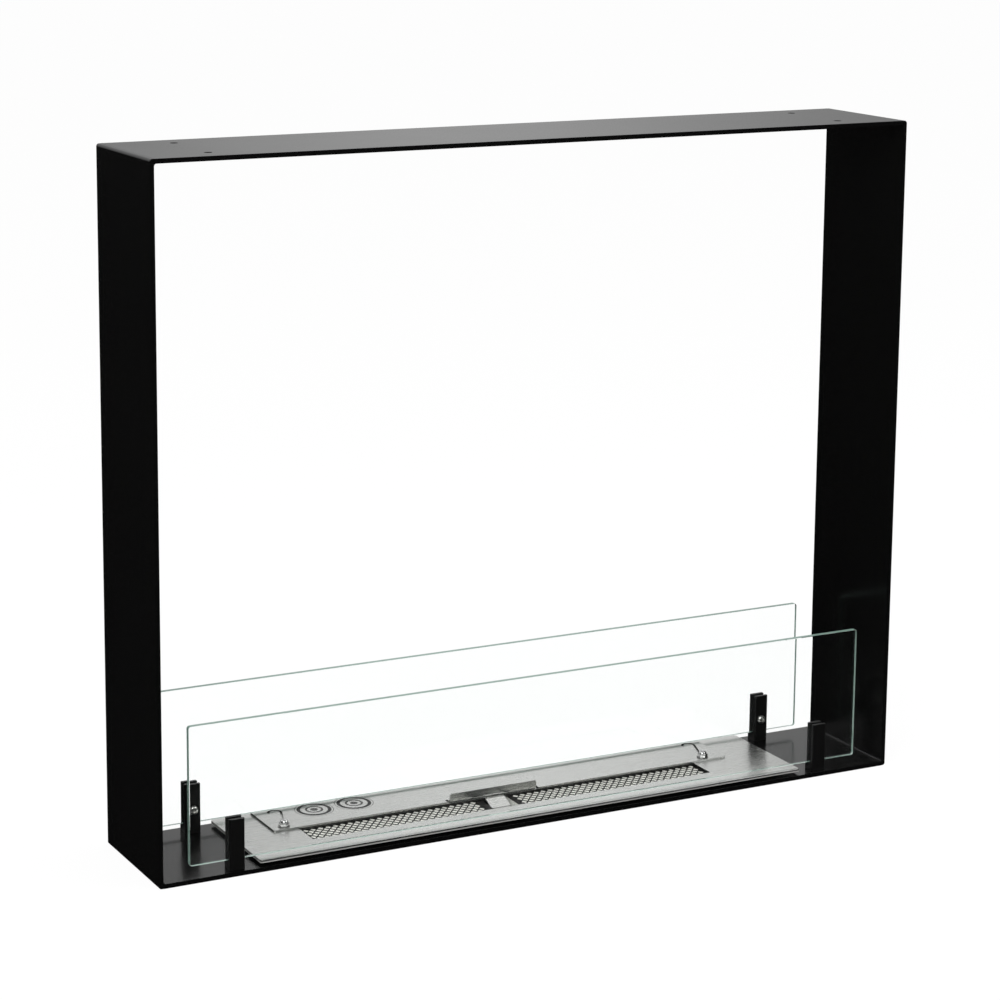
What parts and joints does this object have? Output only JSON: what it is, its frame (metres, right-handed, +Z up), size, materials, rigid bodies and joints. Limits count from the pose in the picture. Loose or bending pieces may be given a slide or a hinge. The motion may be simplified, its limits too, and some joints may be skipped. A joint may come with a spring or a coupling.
{
  "type": "bioethanol fireplace",
  "caption": "See-through bioethanol fireplace: an open rectangular steel frame round a slim slot burner with a sliding cover, between low glass screens in slotted holders.",
  "frame": {"origin": "centre of the underside of the bottom panel, on the surface that the fireplace stands on", "axes": "+X to the right and +Z up for someone facing the front; the front glass screen faces -Y"},
  "size_m": [0.9, 0.15, 0.75],
  "materials": {
    "frame": "satin black powder coat",
    "holder": "satin black",
    "liner": "matt black",
    "glass": "clear toughened, polished edges",
    "burner_steel": "fine brushed stainless",
    "tank": "plain stainless sheet",
    "plain_steel": "plain stainless",
    "chrome": "polished",
    "mesh": "expanded stainless mesh, darkened",
    "wool": "white ceramic wool",
    "gasket": "dark insulating gasket"
  },
  "bodies": {
    "fireplace": {"frame_left_panel": "frame", "frame_right_panel": "frame", "frame_top_panel": "frame", "frame_bottom_panel": "frame", "burner_tank": "tank", "burner_gasket": "gasket", "burner_top_plate": "burner_steel", "mesh_left": "mesh", "mesh_right": "mesh", "wool_pad_left": "wool", "wool_pad_right": "wool", "glass_holder_front_left": "holder", "holder_liner_front_left": "liner", "clamp_screw_front_left": "chrome", "fixing_screw_front_left": "plain_steel", "glass_holder_front_right": "holder", "holder_liner_front_right": "liner", "clamp_screw_front_right": "chrome", "fixing_screw_front_right": "plain_steel", "glass_holder_rear_left": "holder", "holder_liner_rear_left": "liner", "clamp_screw_rear_left": "chrome", "fixing_screw_rear_left": "plain_steel", "glass_holder_rear_right": "holder", "holder_liner_rear_right": "liner", "clamp_screw_rear_right": "chrome", "fixing_screw_rear_right": "plain_steel", "guide_stud_left": "plain_steel", "guide_washer_left": "plain_steel", "guide_nut_left": "chrome", "guide_stud_right": "plain_steel", "guide_washer_right": "plain_steel", "guide_nut_right": "chrome"},
    "front_screen": {"front_glass": "glass"},
    "rear_screen": {"rear_glass": "glass"},
    "cover": {"sliding_cover": "burner_steel"}
  },
  "joints": [
    {"name": "front_glass_lift", "type": "slide", "parent": "fireplace", "child": "front_screen", "axis": [0, 0, 1], "range_m": [0, 0.06]},
    {"name": "rear_glass_lift", "type": "slide", "parent": "fireplace", "child": "rear_screen", "axis": [0, 0, 1], "range_m": [0, 0.06]},
    {"name": "cover_slide", "type": "slide", "parent": "fireplace", "child": "cover", "axis": [-0.3328, -0.943, 0], "range_m": [0, 0.045]}
  ]
}
